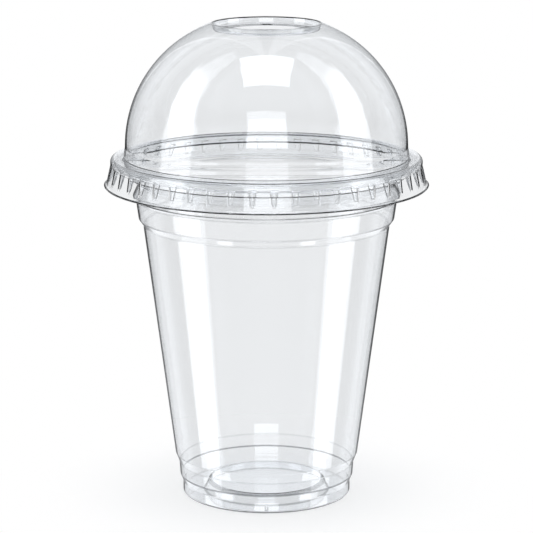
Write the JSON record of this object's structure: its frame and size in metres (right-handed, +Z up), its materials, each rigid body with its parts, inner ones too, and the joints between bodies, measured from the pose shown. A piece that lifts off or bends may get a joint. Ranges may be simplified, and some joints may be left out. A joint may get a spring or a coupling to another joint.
{
  "type": "clear plastic cold drink cup with dome lid",
  "caption": "Clear tapered cold drink cup with a stepped foot and rolled rim, closed by a clear dome lid with a round straw hole and a lugged skirt.",
  "frame": {"origin": "centre of the foot, on the surface the cup stands on", "axes": "+Z up along the cup's axis, -Y towards the front, +X to the right seen from the front"},
  "size_m": [0.1042, 0.1042, 0.1539],
  "materials": {
    "clear_cup": "clear thermoformed PET, gloss",
    "clear_lid": "clear thermoformed PET, gloss"
  },
  "bodies": {
    "cup": {"cup": "clear_cup"},
    "lid": {"dome_lid": "clear_lid"}
  },
  "joints": [
    {"name": "lid_lift", "type": "slide", "parent": "cup", "child": "lid", "axis": [0, 0, 1], "range_m": [0, 0.1]}
  ]
}
